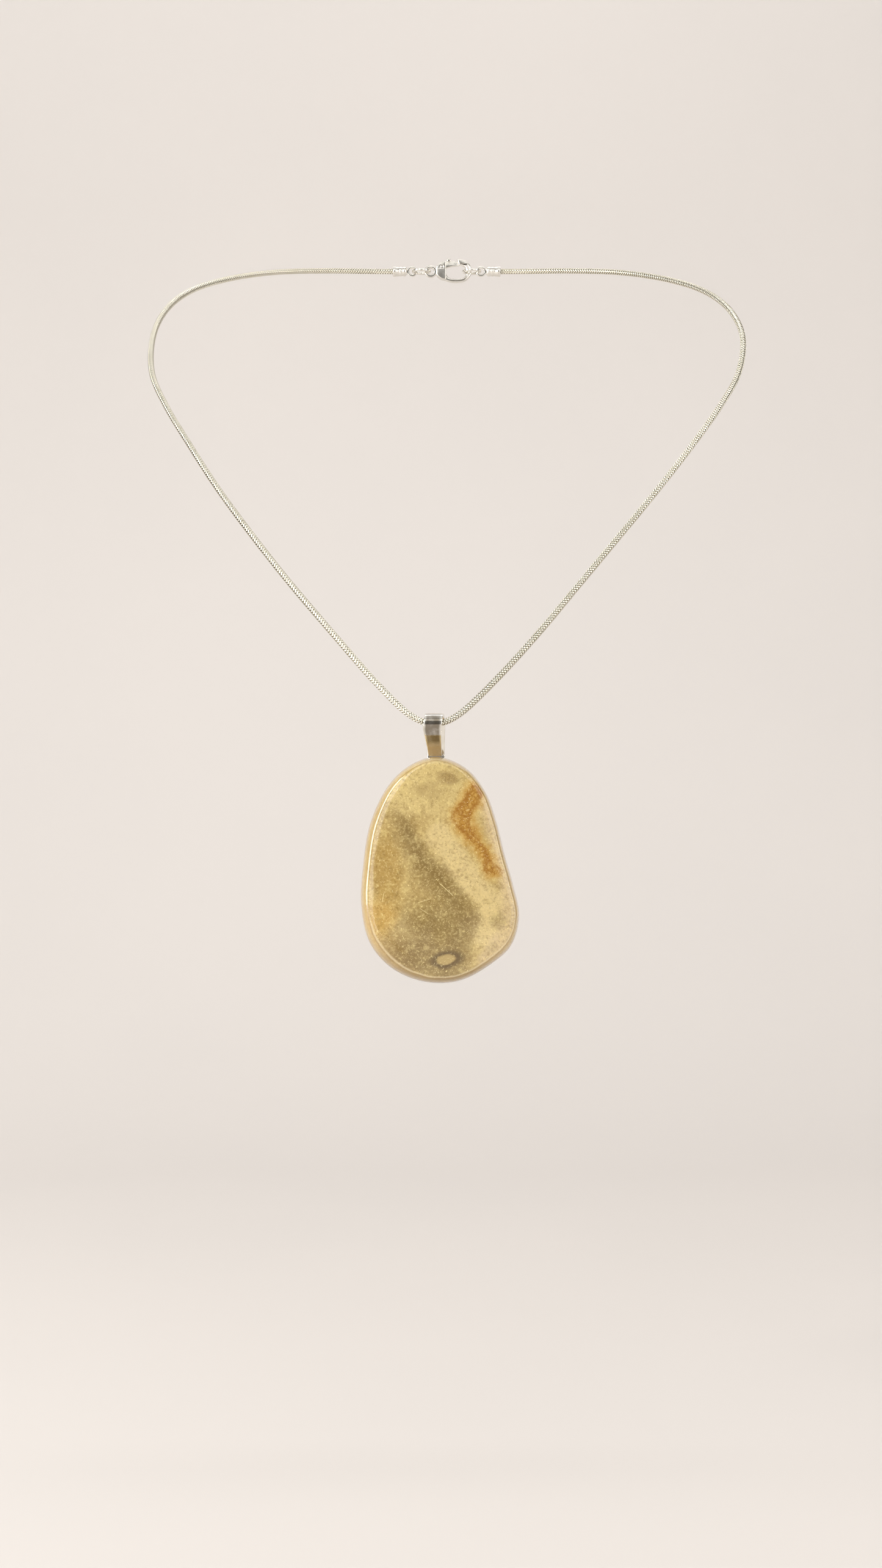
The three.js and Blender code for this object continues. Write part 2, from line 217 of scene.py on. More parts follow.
# ---------------------------------------------------------------- material helpers
class Nodes:
    """Short names for building one node material."""

    def __init__(self, name):
        self.mat = bpy.data.materials.new(name)
        self.mat.use_nodes = True
        self.tree = self.mat.node_tree
        self.bsdf = self.tree.nodes["Principled BSDF"]

    def node(self, kind, **settings):
        n = self.tree.nodes.new(kind)
        for key, value in settings.items():
            setattr(n, key, value)
        return n

    def link(self, a, b):
        self.tree.links.new(a, b)

    def value(self, socket, v):
        if isinstance(v, bpy.types.NodeSocket):
            self.link(v, socket)
        else:
            socket.default_value = v

    def math(self, op, a, b=0.0):
        n = self.node("ShaderNodeMath", operation=op)
        for s, v in zip(n.inputs, (a, b)):
            self.value(s, v)
        return n.outputs[0]

    def mix(self, fac, a, b):
        n = self.node("ShaderNodeMix", data_type="RGBA")
        self.value(n.inputs[0], fac)
        for s, v in ((n.inputs[6], a), (n.inputs[7], b)):
            self.value(s, (*v, 1) if isinstance(v, tuple) and len(v) == 3 else v)
        return n.outputs[2]

    def ramp(self, fac, low, high, a=0.0, b=1.0, smooth=True):
        n = self.node("ShaderNodeMapRange")
        n.interpolation_type = "SMOOTHSTEP" if smooth else "LINEAR"
        for s, v in zip(n.inputs, (fac, low, high, a, b)):
            self.value(s, v)
        return n.outputs[0]

    def coords(self, scale=(1, 1, 1), offset=(0, 0, 0)):
        tc = self.node("ShaderNodeTexCoord")
        mp = self.node("ShaderNodeMapping")
        mp.inputs["Scale"].default_value = scale
        mp.inputs["Location"].default_value = offset
        self.link(tc.outputs["Object"], mp.inputs["Vector"])
        return mp.outputs[0]

    def noise(self, vector, scale, detail=3.0, rough=0.5, distort=0.0):
        n = self.node("ShaderNodeTexNoise")
        self.link(vector, n.inputs["Vector"])
        n.inputs["Scale"].default_value = scale
        n.inputs["Detail"].default_value = detail
        n.inputs["Roughness"].default_value = rough
        n.inputs["Distortion"].default_value = distort
        return n.outputs[0]

    def voronoi(self, vector, scale, feature="F1"):
        n = self.node("ShaderNodeTexVoronoi", feature=feature)
        self.link(vector, n.inputs["Vector"])
        n.inputs["Scale"].default_value = scale
        return n

    def attr(self, name):
        n = self.node("ShaderNodeAttribute", attribute_name=name)
        return n.outputs["Fac"]

    def bump(self, height, strength, distance):
        n = self.node("ShaderNodeBump")
        n.inputs["Strength"].default_value = strength
        n.inputs["Distance"].default_value = distance
        self.link(height, n.inputs["Height"])
        self.link(n.outputs[0], self.bsdf.inputs["Normal"])


def srgb(r, g, b):
    """0-255 display colour to linear."""
    out = []
    for c in (r, g, b):
        c /= 255
        out.append(c / 12.92 if c <= 0.04045 else ((c + 0.055) / 1.055) ** 2.4)
    return tuple(out)


def silver(name, tint, dark, rough, streak=(400, 400, 2500), grain=0.00002, groove_shade=None,
           painted_dark_reflection=None):
    """Polished plate: soft clouding, fine polishing lines and a few hairline marks."""
    m = Nodes(name)
    cloud = m.noise(m.coords(), 500, 4, 0.6)
    lines = m.noise(m.coords(scale=streak), 3.0, 3, 0.7)
    wear = m.noise(m.coords(offset=(3, 1, 7)), 1400, 2, 0.5)
    colour = m.mix(m.ramp(cloud, 0.35, 0.75, 0.0, 0.55), tint, dark)
    colour = m.mix(m.ramp(wear, 0.62, 0.8, 0.0, 0.5), colour, dark)
    # painted shade: darker where the groove number is high, in the gaps between scales
    if groove_shade:
        colour = m.mix(m.ramp(m.attr(groove_shade), 0.25, 1.0, 0.0, 0.75), colour, srgb(134, 125, 97))
    # painted reflection: a dark brownish patch where that number is high, broken up by the clouding
    if painted_dark_reflection:
        patch = m.math("MULTIPLY", m.attr(painted_dark_reflection), m.ramp(cloud, 0.2, 0.6, 0.6, 1.0))
        colour = m.mix(m.math("MULTIPLY", patch, 0.88), colour, (0.20, 0.165, 0.12))
    m.link(colour, m.bsdf.inputs["Base Color"])
    m.bsdf.inputs["Metallic"].default_value = 1.0
    r = m.math("ADD", m.math("MULTIPLY", lines, rough * 0.7), rough * 0.5)
    r = m.math("ADD", r, m.ramp(wear, 0.6, 0.8, 0.0, 0.12))
    m.link(r, m.bsdf.inputs["Roughness"])
    m.bump(m.math("ADD", lines, m.math("MULTIPLY", cloud, 0.6)), 0.25, grain)
    return m.mat


# ---------------------------------------------------------------- chain, the cord
CHAIN_ROUTE = [
    (-CHAIN_END, 43.6, 10), (-14.2, 43.6, 10), (-19, 43.1, 9.9), (-31, 39.4, 9.2),
    (-43.5, 32.4, 7.2), (-54.5, 22.6, 3.2), (-62.2, 11.9, -2.1), (-66.7, 1.6, -8.9),
    (-68.5, -7.4, -17), (-67.6, -15.8, -26.8), (-63.7, -22.6, -35.2), (-58.3, -28.6, -44),
    (-50.6, -35.6, -55.8), (-42.2, -41.5, -67.2), (-33.5, -46, -78.2), (-24.4, -49.3, -88.9),
    (-15.2, -51.4, -99.4), (-8.6, -52, -105.8), (-5.4, -52, -107.6), (-2.9, -52, -108),
    (-0.4, -52, -107.6), (2.8, -52, -105.8), (9.6, -51.4, -99.4), (19.2, -49.3, -88.9),
    (28.1, -46, -78.2), (37.2, -41.5, -67.2), (46.5, -35.6, -55.8), (55.7, -28.4, -43.9),
    (62.4, -22, -34.4), (66.8, -15.4, -26.6), (68.8, -7.4, -17), (67.1, 1.6, -8.9),
    (62.4, 11.9, -2.1), (54.6, 22.6, 3.2), (43.5, 32.4, 7.2), (31, 39.4, 9.2),
    (19, 43.1, 9.9), (14.2, 43.6, 10), (CHAIN_END, 43.6, 10),
]
LINK_PITCH = 0.64
LINK_SLANT = 0.52            # how far a scale's point runs ahead of its corners
WAVES = 4                    # scales round the chain
AROUND = 24
CHAIN_STEPS = 3200
CORD_PATH_STEP = 8           # every so many points go to the cord's path
CORE_R = 0.6


def snake_chain():
    _, length = catmull(CHAIN_ROUTE, 10)
    count = int(length / LINK_PITCH)
    path, _ = catmull(CHAIN_ROUTE, CHAIN_STEPS)
    side, up = frames_along(path)
    s = np.linspace(0, length, CHAIN_STEPS + 1)

    def place(along, radius, angle):
        """Points at distances along the chain, out at radius and angle."""
        at = np.stack([np.interp(along, s, path[:, a]) for a in range(3)], axis=-1)
        u = np.stack([np.interp(along, s, side[:, a]) for a in range(3)], axis=-1)
        v = np.stack([np.interp(along, s, up[:, a]) for a in range(3)], axis=-1)
        return (at + (radius * np.cos(angle))[..., None] * u
                + (radius * np.sin(angle))[..., None] * v)

    # one link's section: (along, out) from its leading lip to its tucked edge, and the inside
    section = [(-0.30, 0.60), (-0.20, 0.685), (-0.02, 0.70), (0.17, 0.655), (0.27, 0.57),
               (0.02, 0.53)]
    # painted shade at each point of the section: most at the leading lip, the tucked edge and the
    # inside
    groove_shade = [0.9, 0.1, 0.0, 0.35, 1.0, 1.0]
    angle = np.arange(AROUND) * 2 * math.pi / AROUND + 0.35
    phase = (np.arange(AROUND) * WAVES / AROUND) % 1.0
    zigzag = np.abs(phase * 2 - 1) - 0.5          # -0.5 .. 0.5, straight slants
    verts, faces, groove_shades = [], [], []
    n = len(section)
    for i in range(count):
        centre = (i + 0.5) * length / count
        ring = []
        for da, r in section:
            along = np.clip(centre + da + zigzag * LINK_SLANT, 0.0, length)
            ring.append(place(along, np.full(AROUND, r), angle))
        base = len(verts) * n * AROUND
        verts.append(np.concatenate(ring))
        groove_shades += [g for g in groove_shade for _ in range(AROUND)]
        for j in range(n):
            a0, b0 = base + j * AROUND, base + ((j + 1) % n) * AROUND
            for k in range(AROUND):
                k2 = (k + 1) % AROUND
                faces.append((a0 + k, b0 + k, b0 + k2, a0 + k2))
    verts = np.concatenate(verts)
    # core behind the scales, darkened all over with painted shade
    core_n, core_steps = 8, 220
    core_angle = np.arange(core_n) * 2 * math.pi / core_n
    core = np.concatenate([place(np.full(core_n, a), np.full(core_n, CORE_R), core_angle)
                           for a in np.linspace(0.0, length, core_steps)])
    start = len(verts)
    faces += [q[::-1] for q in loft_faces(core_steps, core_n, start=start)]
    verts = np.concatenate([verts, core])
    groove_shades += [1.0] * len(core)
    obj = make_object("snake_chain_links", verts, faces)
    attribute(obj, "groove_shade", groove_shades)
    return obj, length, path[::CORD_PATH_STEP]


chain, chain_length, chain_path = snake_chain()
chain.data.materials.append(silver(
    "snake_chain_silver", (0.84, 0.815, 0.71), (0.66, 0.63, 0.50), 0.17, groove_shade="groove_shade"))
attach(chain, "chain")
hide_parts("snake_chain")

# ---------------------------------------------------------------- stone
STONE_OUTLINE = [
    (0.6, -7.1), (6.6, -9.3), (10.9, -14.4), (13.3, -20.8), (15.0, -27.6), (16.9, -34.4),
    (18.2, -41.0), (16.6, -47.2), (12.2, -51.4), (5.6, -54.9), (-1.4, -55.3), (-8.6, -52.6),
    (-13.6, -47.2), (-15.6, -39.2), (-15.2, -30.0), (-13.6, -21.0), (-9.6, -12.9), (-4.6, -8.5),
]
FACE_CENTRE = np.array([1.6, -32.0])
# share of the edge band's width in from the outline, and height above the back
STONE_PROFILE = [
    (0.4, 0.0), (0.2, 0.08), (0.06, 0.35), (0.0, 1.1), (0.01, 1.7), (0.06, 2.4), (0.14, 3.1),
    (0.27, 3.8), (0.42, 4.42), (0.6, 4.95), (0.76, 5.31), (0.86, 5.46), (1.02, 5.6), (1.18, 5.73),
    (1.4, 5.83), (1.75, 5.91), (2.2, 5.98), (2.8, 6.03),
]
STONE_DOME = 0.5
STONE_AROUND = 400
PROFILE_STEPS = 46
FACE_RINGS = 84
BACK_RINGS = 30
FACE_START = 5.4             # height above the back where the face begins


def stone():
    """Stone with its flat back, rounded rim and domed face; also x and z of its points."""
    around = STONE_AROUND
    base, _ = catmull(STONE_OUTLINE, around, closed=True)
    ahead, behind = np.roll(base, -4, axis=0), np.roll(base, 4, axis=0)
    d = ahead - behind
    normal = np.stack([-d[:, 1], d[:, 0]], axis=1)
    normal /= np.linalg.norm(normal, axis=1)[:, None]
    low_left = np.clip(-(normal[:, 0] + normal[:, 1]) / 1.414, 0, 1) ** 3
    low_right = np.clip((normal[:, 0] - normal[:, 1]) / 1.414, 0, 1) ** 4
    band = (1.0 - 0.25 * normal[:, 0] - 0.1 * normal[:, 1]
            + 0.55 * low_left + 0.45 * low_right)
    profile, _ = catmull(STONE_PROFILE, PROFILE_STEPS)
    rings, insets = [], []
    rim = base - normal * (band * profile[0][0])[:, None]
    for f in np.linspace(0.02, 1, BACK_RINGS)[:-1]:
        p = FACE_CENTRE + (rim - FACE_CENTRE) * f
        rings.append(np.stack([p[:, 0], np.full(around, STONE_BACK_Y), p[:, 1]], axis=1))
        insets.append(np.full(around, 0.4 + (1 - f) * 14))
    for k, height in profile:
        inset = band * k
        p = base - normal * inset[:, None]
        rings.append(np.stack([p[:, 0], np.full(around, STONE_BACK_Y - height), p[:, 1]], axis=1))
        insets.append(np.full(around, k))
    edge = rings[-1]
    top = profile[-1][1]
    for f in np.linspace(1, 0.02, FACE_RINGS)[1:]:
        p = FACE_CENTRE + (edge[:, [0, 2]] - FACE_CENTRE) * f
        h = top + STONE_DOME * (1 - f ** 2.2)
        rings.append(np.stack([p[:, 0], np.full(around, STONE_BACK_Y - h), p[:, 1]], axis=1))
        insets.append(np.full(around, 2.8 + (1 - f) * 14))
    verts = np.concatenate(rings)
    # hand polishing leaves the face very slightly wavy
    x, z = verts[:, 0], verts[:, 2]
    front = np.clip((STONE_BACK_Y - verts[:, 1] - FACE_START) / 0.6, 0, 1)
    verts[:, 1] += front * (0.035 * np.sin(x * 0.42 + z * 0.13) * np.sin(z * 0.31 + 1.3)
                            + 0.012 * np.sin(x * 0.9 - z * 0.55 + 2.0))
    faces = loft_faces(len(rings), around)
    obj = make_object("stone_polished", verts + HANG, [q[::-1] for q in faces])
    fix_normals(obj)
    attribute(obj, "inset", np.concatenate(insets))
    attribute(obj, "front", np.clip((STONE_BACK_Y - verts[:, 1] - 4.2) / 0.5, 0, 1))
    return obj, x, z


def line_distance(x, z, points, signed=False):
    """Distance from each point to a polyline, mm; signed is positive on its left-hand side."""
    best = np.full(len(x), 1e9)
    sign = np.ones(len(x))
    P = np.array(points, float)
    for a, b in zip(P[:-1], P[1:]):
        ab = b - a
        t = np.clip(((x - a[0]) * ab[0] + (z - a[1]) * ab[1]) / (ab @ ab), 0, 1)
        d = np.hypot(x - a[0] - t * ab[0], z - a[1] - t * ab[1])
        side = np.sign(ab[0] * (z - a[1]) - ab[1] * (x - a[0]))
        nearer = d < best
        sign[nearer] = side[nearer]
        best = np.minimum(best, d)
    return best * sign if signed else best


def soft(distance, inside, outside):
    """1 nearer than inside, 0 beyond outside, and a smooth step between."""
    t = np.clip((outside - distance) / (outside - inside), 0, 1)
    return t * t * (3 - 2 * t)


def spot(x, z, cx, cz, rx, rz, turn=0.0):
    """Distance in radii from an ellipse's centre."""
    c, s = math.cos(math.radians(turn)), math.sin(math.radians(turn))
    u, v = (x - cx) * c + (z - cz) * s, -(x - cx) * s + (z - cz) * c
    return np.hypot(u / rx, v / rz)


# strands of the rusty vein
VEIN = [
    [(8.2, -13.4), (7.4, -15.0), (6.4, -16.6), (5.2, -18.0), (4.2, -19.0), (3.8, -20.0),
     (4.4, -21.2), (5.6, -22.4), (6.8, -23.6), (8.0, -24.4)],
    [(9.3, -14.2), (9.9, -15.6), (9.0, -17.2), (7.8, -18.2), (7.3, -19.4), (7.2, -20.8),
     (7.5, -22.2), (8.2, -23.6), (9.6, -25.2), (10.8, -27.0), (11.4, -28.9)],
    [(5.4, -19.2), (6.4, -19.8), (7.2, -19.8)],
    [(11.4, -28.9), (12.4, -29.8), (13.6, -30.6), (14.4, -31.6)],
    [(11.0, -28.4), (10.6, -30.2), (11.2, -31.8)],
]
# right-hand boundary of the smoky run, top to bottom; the smoke lies on its left as seen
SMOKE_EDGE = [
    (-8.8, -16.6), (-6.9, -17.9), (-5.2, -19.9), (-3.8, -23.0), (-1.9, -25.6), (-0.3, -28.0),
    (2.9, -30.6), (5.1, -34.1), (7.4, -36.7), (9.4, -39.4), (10.5, -41.7), (9.0, -44.3),
    (8.0, -47.1), (8.2, -49.7), (6.2, -54.0),
]


def mark_stone(obj, x, z):
    """Where the markings lie on the stone, as numbers on its points for the material."""
    strands = np.min([line_distance(x, z, run) for run in VEIN], axis=0)
    attribute(obj, "vein", strands)
    # the body of the vein lies between its two strands
    attribute(obj, "vein_body", np.minimum(
        line_distance(x, z, [(8.8, -14.4), (7.4, -17.2), (5.8, -19.6), (6.0, -21.2), (7.6, -23.4)]),
        line_distance(x, z, [(7.6, -23.4), (10.2, -27.0), (11.6, -29.6), (12.4, -31.4)]) + 0.6))
    smoke = -line_distance(x, z, SMOKE_EDGE, signed=True)
    attribute(obj, "smoke", smoke)
    # how far the smoke reaches back from that boundary grows downwards
    attribute(obj, "reach", 3.4 + np.clip((-18.0 - z) / 30.0, 0, 1) * 8.0)
    attribute(obj, "smoke_low", np.maximum(
        soft(spot(x, z, 1.5, -43.0, 12.0, 8.5), 0.2, 1.1),
        soft(spot(x, z, -1.0, -49.5, 11.0, 6.5, -8), 0.35, 1.15)))
    # lower part of the stone, where the painted highlight line along the face edge shows
    attribute(obj, "low_edge", np.clip((-38.0 - z) / 5.0, 0, 1))
    attribute(obj, "low_rim", np.clip((-47.0 - z) / 6.0, 0, 1))
    attribute(obj, "smoke_top", soft(-z, 22.5, 16.5))
    attribute(obj, "tan_low", soft(spot(x, z, -8.5, -48.5, 8.0, 5.0, -40), 0.2, 1.2))
    attribute(obj, "gold_left", soft(spot(x, z, -10.0, -31.5, 5.4, 12.5, 4), 0.1, 1.15))
    attribute(obj, "glow", soft(spot(x, z, -11.6, -41.0, 5.6, 6.4, -8), 0.0, 1.15))
    attribute(obj, "cream", soft(line_distance(
        x, z, [(1.0, -24.0), (4.5, -29.0), (8.5, -34.5), (12.0, -38.0), (10.5, -45.0)]), 0.4, 5.0))
    # painted reflection: a pale haze along the right-hand edge
    attribute(obj, "painted_haze_right", soft(line_distance(
        x, z, [(11.6, -17.0), (13.6, -24.0), (15.6, -32.0), (16.8, -38.5), (15.6, -44.5),
               (11.5, -50.0)]), 0.3, 4.1))
    attribute(obj, "grey", np.maximum(
        0.75 * soft(spot(x, z, 13.4, -42.0, 2.9, 2.6, 30), 0.2, 1.25),
        0.55 * soft(spot(x, z, 12.2, -47.6, 2.4, 1.8, 30), 0.2, 1.25)))
    attribute(obj, "grain_patch", np.maximum(
        0.95 * soft(spot(x, z, 2.9, -11.7, 3.2, 1.9, -12), 0.2, 1.25),
        0.6 * soft(spot(x, z, -1.2, -14.2, 5.6, 2.9, 8), 0.1, 1.2)))
    attribute(obj, "eye", spot(x, z, 2.7, -50.0, 2.15, 1.15, 10))
    attribute(obj, "top", soft(-z, 11.0, 23.0))


stone_obj, stone_x, stone_z = stone()
mark_stone(stone_obj, stone_x, stone_z)

# golden flecks: turn in the face (degrees), cells per metre, share left out, net's offset
FLECKS = ((20, 1600, 0.6, 0), (105, 1300, 0.65, 3), (128, 2700, 0.3, 7),
          (160, 2400, 0.35, 11), (48, 3200, 0.25, 5), (80, 3800, 0.2, 13))
FLECK_STRETCH = (1, 0.32, 0.32)
# hair-fine marks: turn, cells per metre, net's offset
HAIRS = ((52, 190, 2), (-24, 230, 9), (70, 260, 15))
HAIR_STRETCH = (1, 0.05, 0.2)
# straight scratches on the face: ends in mm from the hanging axis, and width
SCRATCHES = ((1.2, -33.9, 3.9, -36.4, 0.09), (-11.0, -37.8, -10.6, -36.0, 0.08),
             (-3.4, -38.0, -0.8, -37.2, 0.07), (-3.0, -39.2, -1.2, -40.4, 0.06))


class StoneNodes(Nodes):
    """The stone's colour, painted as thin layers from the ground up."""

    def __init__(self):
        super().__init__("stone_translucent")
        self.at = self.coords()
        self.cloud = self.noise(self.at, 260, 4, 0.6)
        self.mottle = self.noise(self.coords(offset=(5, 2, 9)), 620, 5, 0.68)
        self.grain = self.noise(self.coords(offset=(2, 2, 2)), 2100, 3, 0.75)
        self.shift = self.math("SUBTRACT", self.cloud, 0.5)
        self.front = self.attr("front")
        self.place = self.node("ShaderNodeSeparateXYZ")
        self.link(self.coords(), self.place.inputs[0])
        self.colour = srgb(176, 152, 96)

    def layer(self, fac, amount, tone):
        """Lay a tone over the colour so far."""
        self.colour = self.mix(self.math("MULTIPLY", fac, amount), self.colour, srgb(*tone))

    def wander(self, value, noise, amount):
        """A value pushed up and down by a noise, so that its edges wander."""
        return self.math("ADD", value,
                         self.math("MULTIPLY", self.math("SUBTRACT", noise, 0.5), amount))

    def warped(self, name, amount):
        return self.math("ADD", self.attr(name), self.math("MULTIPLY", self.shift, amount))

    def patch(self, name, amount, low, high):
        """Mask of a painted patch with a wandering edge."""
        return self.ramp(self.warped(name, amount), low, high)

    def scratch(self, ax, az, bx, bz, width):
        """Mask of a straight hairline between two points of the face, mm from the hanging axis."""
        ax, az, bx, bz = ((v + o) * MM for v, o in zip((ax, az, bx, bz), (*HANG[[0, 2]],) * 2))
        dx, dz = bx - ax, bz - az
        size = dx * dx + dz * dz
        px, pz = (self.math("SUBTRACT", self.place.outputs[i], v) for i, v in ((0, ax), (2, az)))
        t = self.math("ADD", self.math("MULTIPLY", px, dx / size),
                      self.math("MULTIPLY", pz, dz / size))
        t = self.math("MINIMUM", self.math("MAXIMUM", t, 0.0), 1.0)
        qx = self.math("SUBTRACT", px, self.math("MULTIPLY", t, dx))
        qz = self.math("SUBTRACT", pz, self.math("MULTIPLY", t, dz))
        d = self.math("SQRT", self.math("ADD", self.math("MULTIPLY", qx, qx),
                                        self.math("MULTIPLY", qz, qz)))
        return self.ramp(d, width * MM, width * 0.3 * MM)

    def slivers(self, turn, size, stretch, offset):
        """Cells of a net turned in the face and stretched one way: distance and random shares."""
        spin = self.node("ShaderNodeMapping")
        self.link(self.node("ShaderNodeTexCoord").outputs["Object"], spin.inputs["Vector"])
        spin.inputs["Rotation"].default_value = (0, math.radians(turn), 0)
        squash = self.node("ShaderNodeMapping")
        self.link(spin.outputs[0], squash.inputs["Vector"])
        squash.inputs["Scale"].default_value = stretch
        squash.inputs["Location"].default_value = (offset,) * 3
        return self.dots(squash.outputs[0], size)

    def dots(self, vector, size):
        """Distance to the nearest of many scattered points, and three random shares for each."""
        cells = self.voronoi(vector, size)
        pick = self.node("ShaderNodeSeparateColor")
        self.link(cells.outputs["Color"], pick.inputs[0])
        return cells.outputs["Distance"], pick.outputs


def paint_ground(m):
    """Broad tones of the face: pale top and middle, gold at the left."""
    wide = m.noise(m.coords(offset=(1, 8, 3)), 95, 4, 0.55, 0.6)
    m.colour = m.mix(m.ramp(wide, 0.36, 0.64), m.colour, srgb(196, 174, 117))
    m.layer(m.patch("top", 0.5, 0.1, 0.9), 0.6, (200, 179, 120))
    m.layer(m.patch("cream", 0.7, 0.15, 0.85), 0.78, (210, 189, 136))
    m.layer(m.patch("gold_left", 0.8, 0.1, 0.9), 0.85, (168, 137, 72))


def paint_smoke(m):
    """The smoky run, firm on its right-hand side and fading away on the other."""
    smoke = m.warped("smoke", 1.5)
    depth = m.math("DIVIDE", smoke, m.attr("reach"))
    edge = m.math("MULTIPLY", m.ramp(smoke, -0.9, 1.1), m.attr("smoke_top"))
    run = m.math("MULTIPLY", edge, m.ramp(depth, 1.15, 0.3))
    run = m.math("MULTIPLY", run, m.ramp(depth, 0.0, 0.4, 0.68, 1.0))
    low = m.math("MULTIPLY", m.math("MULTIPLY", edge, m.attr("smoke_low")), 0.92)
    m.layer(m.patch("tan_low", 0.6, 0.1, 0.9), 0.8, (164, 135, 80))
    m.layer(m.math("MAXIMUM", run, low), 0.82, (120, 97, 51))


def paint_patches(m):
    """Golden glow, a painted reflection haze along the right edge, grey smudges and the speckled
    patches near the top.
    """
    m.layer(m.patch("glow", 0.5, 0.05, 0.95), 0.8, (188, 151, 78))
    m.layer(m.patch("painted_haze_right", 0.6, 0.1, 0.9), 0.75, (204, 182, 142))
    m.layer(m.patch("grey", 0.8, 0.2, 0.85), 0.6, (156, 136, 90))
    specks = m.math("MULTIPLY", m.patch("grain_patch", 0.7, 0.15, 0.9),
                    m.ramp(m.grain, 0.42, 0.62))
    m.layer(m.patch("grain_patch", 0.7, 0.15, 1.0), 0.4, (146, 117, 64))
    m.layer(specks, 0.8, (106, 76, 36))
    # cloudy mottling, pale and dark, at two scales
    m.layer(m.ramp(m.mottle, 0.5, 0.72), 0.45, (219, 199, 136))
    m.layer(m.ramp(m.mottle, 0.5, 0.3), 0.42, (128, 103, 52))
    m.layer(m.ramp(m.grain, 0.51, 0.72), 0.5, (226, 206, 142))
    m.layer(m.ramp(m.grain, 0.49, 0.28), 0.5, (118, 92, 44))


def paint_vein(m):
    """Rusty vein: a golden haze, a net of fine curled lines, and darker strands."""
    curl = m.node("ShaderNodeVectorMath", operation="MULTIPLY_ADD")
    curl_noise = m.node("ShaderNodeTexNoise")
    m.link(m.at, curl_noise.inputs["Vector"])
    curl_noise.inputs["Scale"].default_value = 1500
    curl_noise.inputs["Detail"].default_value = 2
    m.link(curl_noise.outputs["Color"], curl.inputs[0])
    curl.inputs[1].default_value = (0.0006, 0.0006, 0.0006)
    m.link(m.at, curl.inputs[2])
    body = m.wander(m.attr("vein_body"), m.mottle, 3.6)
    m.layer(m.ramp(body, 3.8, 0.9), 0.6, (200, 158, 70))
    m.layer(m.ramp(body, 2.7, 0.2), 0.76, (166, 118, 34))
    cells = m.voronoi(curl.outputs[0], 1250, "DISTANCE_TO_EDGE").outputs["Distance"]
    net = m.math("MULTIPLY", m.ramp(cells, 0.1, 0.015), m.ramp(body, 1.8, 0.9))
    m.layer(net, 0.8, (142, 94, 24))
    cell_heart = m.math("MULTIPLY", m.ramp(cells, 0.22, 0.4), m.ramp(body, 1.7, 0.9))
    m.layer(cell_heart, 0.6, (206, 168, 90))
    strand = m.wander(m.wander(m.attr("vein"), m.grain, 1.9), m.mottle, 1.7)
    m.layer(m.ramp(strand, 0.7, -0.1), 0.75, (150, 101, 28))
    return net


def paint_eye(m):
    """The pale oval with its dark ring, fainter on the back."""
    eye = m.warped("eye", 0.8)
    ring = m.math("MULTIPLY", m.ramp(eye, 0.9, 1.15), m.ramp(eye, 2.0, 1.2))
    seen = m.math("ADD", m.math("MULTIPLY", m.front, 0.7), 0.3)
    m.layer(m.math("MULTIPLY", ring, seen), 0.78, (88, 67, 34))
    m.layer(m.math("MULTIPLY", m.ramp(eye, 1.08, 0.72), seen), 0.75, (184, 160, 104))


def paint_flecks(m):
    """Golden flecks lying every way, scratches, hair-fine marks and a few rust dots."""
    for turn, size, keep, offset in FLECKS:
        distance, share = m.slivers(turn, size, FLECK_STRETCH, offset)
        thin = m.math("SUBTRACT", distance, m.math("MULTIPLY", share[1], 0.12))
        here = m.math("MULTIPLY", m.ramp(thin, 0.14, 0.0), m.ramp(share[0], keep, keep + 0.6))
        here = m.math("MULTIPLY", here, m.ramp(share[2], 0.0, 1.0, 0.25, 1.0, smooth=False))
        m.layer(here, 0.9, (244, 228, 166))
    for line in SCRATCHES:
        m.layer(m.math("MULTIPLY", m.scratch(*line), m.front), 0.6, (246, 230, 172))
    for turn, size, offset in HAIRS:
        distance, share = m.slivers(turn, size, HAIR_STRETCH, offset)
        here = m.math("MULTIPLY", m.ramp(distance, 0.02, 0.008), m.ramp(share[0], 0.7, 0.8))
        m.layer(here, 0.5, (244, 228, 170))
    distance, share = m.dots(m.coords(offset=(9, 3, 5)), 700)
    rust = m.math("MULTIPLY", m.ramp(distance, 0.12, 0.05), m.ramp(share[1], 0.88, 0.92))
    m.layer(rust, 0.7, (120, 72, 28))


def paint_rim(m):
    """The thin edge lets light through: paler and clearer, with a painted highlight line and a
    painted shade line along the face edge.
    """
    inset = m.warped("inset", 0.35)
    painted_highlight_line = m.math("MULTIPLY", m.ramp(inset, 0.98, 1.08), m.ramp(inset, 1.4, 1.15))
    painted_shade_line = m.math("MULTIPLY", m.ramp(inset, 0.8, 0.95), m.ramp(inset, 1.2, 1.0))
    m.layer(m.ramp(inset, 1.15, 0.85), 0.6, (194, 168, 118))
    m.layer(m.ramp(inset, 0.45, 0.0), 0.6, (166, 132, 84))
    m.layer(m.math("MULTIPLY", m.ramp(inset, 1.1, 0.85), m.attr("low_rim")), 0.6, (142, 118, 72))
    # painted highlight along the face edge on the lower part, and a painted shade line just outside
    # it, both on the front only
    m.layer(m.math("MULTIPLY", painted_highlight_line, m.math("MULTIPLY", m.attr("low_edge"), m.front)),
            0.5, (232, 216, 176))
    m.layer(m.math("MULTIPLY", painted_shade_line, m.front), 0.35, (136, 106, 66))


